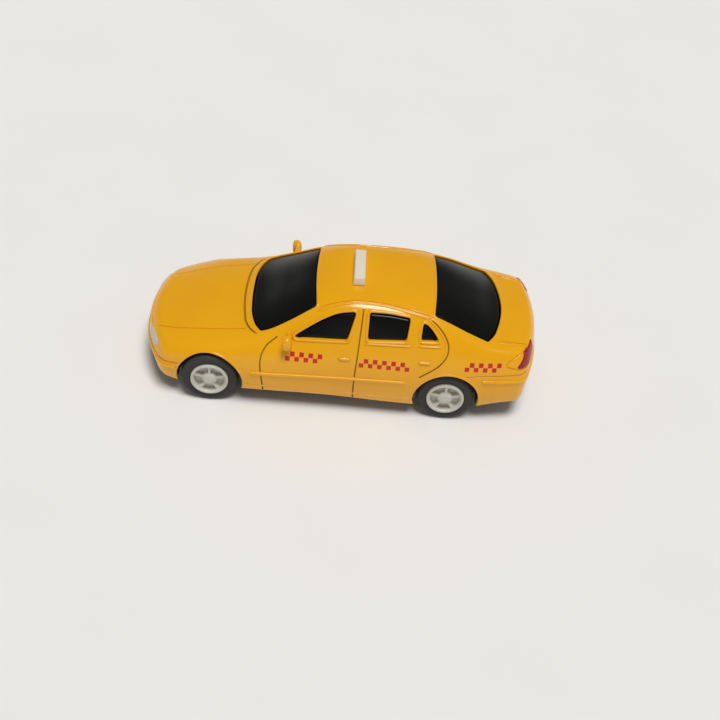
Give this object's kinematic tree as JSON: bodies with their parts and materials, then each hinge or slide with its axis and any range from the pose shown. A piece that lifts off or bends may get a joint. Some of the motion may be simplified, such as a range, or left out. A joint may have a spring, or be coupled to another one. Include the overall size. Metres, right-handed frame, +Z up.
{
  "type": "toy taxi",
  "caption": "Small pull-back toy taxi saloon with a painted cast shell, dark window insert, roof sign, spoked wheels and a geared spring motor on the rear axle.",
  "frame": {"origin": "on the ground, under the middle of the car's length and width", "axes": "+X towards the front of the car, +Y to its left, +Z up"},
  "size_m": [0.079, 0.0334, 0.0261],
  "materials": {
    "body_paint": "gloss taxi yellow paint",
    "window_plastic": "gloss near-black",
    "sign_plastic": "satin cream white",
    "base_plastic": "matt black",
    "screw_steel": "bright zinc",
    "axle_steel": "drawn wire",
    "hub_plastic": "satin pale grey",
    "tyre_rubber": "matt dark grey",
    "motor_plastic": "natural white",
    "gear_plastic": "natural white",
    "spring_steel": "blued strip"
  },
  "bodies": {
    "car": {"body_shell": "body_paint", "glazing": "window_plastic", "roof_sign": "sign_plastic", "base_plate": "base_plastic", "base_screws": "screw_steel", "motor_case_left": "motor_plastic", "motor_case_right": "motor_plastic", "mainspring": "spring_steel"},
    "front_wheels": {"front_axle": "axle_steel", "tyre_front_left": "tyre_rubber", "hub_front_left": "hub_plastic", "tyre_front_right": "tyre_rubber", "hub_front_right": "hub_plastic"},
    "rear_wheels": {"rear_axle": "axle_steel", "axle_pinion": "gear_plastic", "tyre_rear_left": "tyre_rubber", "hub_rear_left": "hub_plastic", "tyre_rear_right": "tyre_rubber", "hub_rear_right": "hub_plastic"},
    "transfer": {"transfer_gear": "gear_plastic"},
    "spring_arbor": {"spring_gear": "gear_plastic"}
  },
  "joints": [
    {"name": "front_axle_turn", "type": "hinge", "parent": "car", "child": "front_wheels", "pos_m": [0.0255, 0, 0.0057], "axis": [0, 1, 0], "continuous": true},
    {"name": "rear_axle_turn", "type": "hinge", "parent": "car", "child": "rear_wheels", "pos_m": [-0.0215, 0, 0.0057], "axis": [0, 1, 0], "continuous": true},
    {"name": "transfer_turn", "type": "hinge", "parent": "car", "child": "transfer", "pos_m": [-0.01508, 0, 0.00927], "axis": [0, 1, 0], "continuous": true},
    {"name": "spring_turn", "type": "hinge", "parent": "car", "child": "spring_arbor", "pos_m": [-0.00752, 0, 0.00948], "axis": [0, 1, 0], "continuous": true}
  ],
  "couplings": [
    {"joint": "transfer_turn", "follows": "rear_axle_turn", "ratio": -0.34615},
    {"joint": "spring_turn", "follows": "rear_axle_turn", "ratio": 0.11538}
  ]
}
